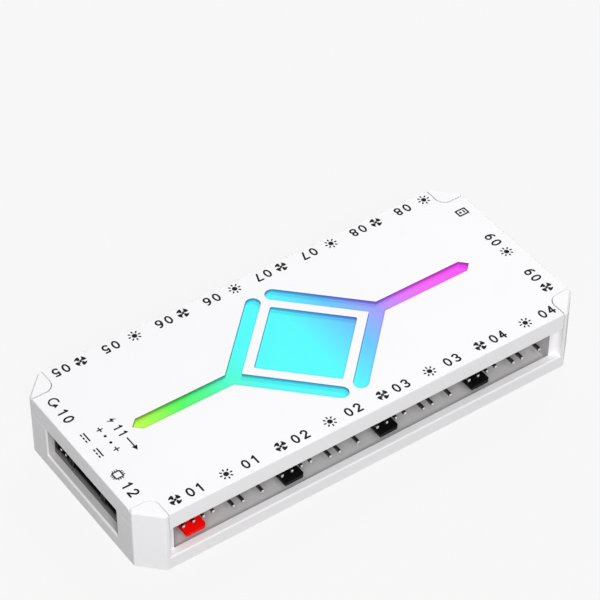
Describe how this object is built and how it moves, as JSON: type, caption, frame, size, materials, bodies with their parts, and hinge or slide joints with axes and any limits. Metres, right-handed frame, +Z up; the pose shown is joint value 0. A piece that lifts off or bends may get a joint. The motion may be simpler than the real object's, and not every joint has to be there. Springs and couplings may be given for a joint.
{
  "type": "pc fan controller hub",
  "caption": "Flat octagonal hub for computer fans and light strips: tray and drop-in roof with lit windows, circuit board inside, pin headers in openings on every side.",
  "frame": {"origin": "under the middle of the case, on the flat base it rests on", "axes": "+X along the case towards the right side, +Y from the front port row to the back port row, +Z up through the roof"},
  "size_m": [0.12, 0.0524, 0.0172],
  "materials": {
    "white_case": "white moulded plastic, satin",
    "milky_diffuser": "milky translucent plastic, lit from below",
    "board_laminate": "white solder mask",
    "black_housing": "black moulded plastic",
    "red_housing": "red moulded plastic",
    "pin_metal": "tin-plated square wire",
    "screw_steel": "plated steel",
    "can_metal": "drawn can",
    "lamp_package": "white package with clear fill",
    "tan_ceramic": "fired ceramic",
    "chip_black": "moulded epoxy"
  },
  "bodies": {
    "root": {"back_fan_header_1": "black_housing", "back_fan_header_2": "black_housing", "back_fan_header_3": "black_housing", "back_fan_header_4": "black_housing", "back_fan_pins_1": "pin_metal", "back_fan_pins_2": "pin_metal", "back_fan_pins_3": "pin_metal", "back_fan_pins_4": "pin_metal", "back_light_header_1": "black_housing", "back_light_header_2": "black_housing", "back_light_header_3": "black_housing", "back_light_header_4": "black_housing", "back_light_pins_1": "pin_metal", "back_light_pins_2": "pin_metal", "back_light_pins_3": "pin_metal", "back_light_pins_4": "pin_metal", "bottom_shell": "white_case", "case_screws": "screw_steel", "chip_capacitors": "tan_ceramic", "chip_resistors": "chip_black", "circuit_board": "board_laminate", "controller_chip": "chip_black", "fan_driver_chip": "chip_black", "front_fan_header_1": "red_housing", "front_fan_header_2": "black_housing", "front_fan_header_3": "black_housing", "front_fan_header_4": "black_housing", "front_fan_pins_1": "pin_metal", "front_fan_pins_2": "pin_metal", "front_fan_pins_3": "pin_metal", "front_fan_pins_4": "pin_metal", "front_light_header_1": "black_housing", "front_light_header_2": "black_housing", "front_light_header_3": "black_housing", "front_light_header_4": "black_housing", "front_light_pins_1": "pin_metal", "front_light_pins_2": "pin_metal", "front_light_pins_3": "pin_metal", "front_light_pins_4": "pin_metal", "left_link_header": "black_housing", "left_link_pins": "pin_metal", "left_power_header": "black_housing", "left_power_pins": "pin_metal", "left_reset_header": "black_housing", "left_reset_pins": "pin_metal", "light_diffuser": "milky_diffuser", "power_capacitors": "can_metal", "rgb_lamps": "lamp_package", "right_fan_header": "black_housing", "right_fan_pins": "pin_metal", "right_light_header": "black_housing", "right_light_pins": "pin_metal", "right_panel_header": "black_housing", "right_panel_pins": "pin_metal", "top_cover": "white_case", "voltage_regulator": "chip_black"}
  },
  "joints": []
}
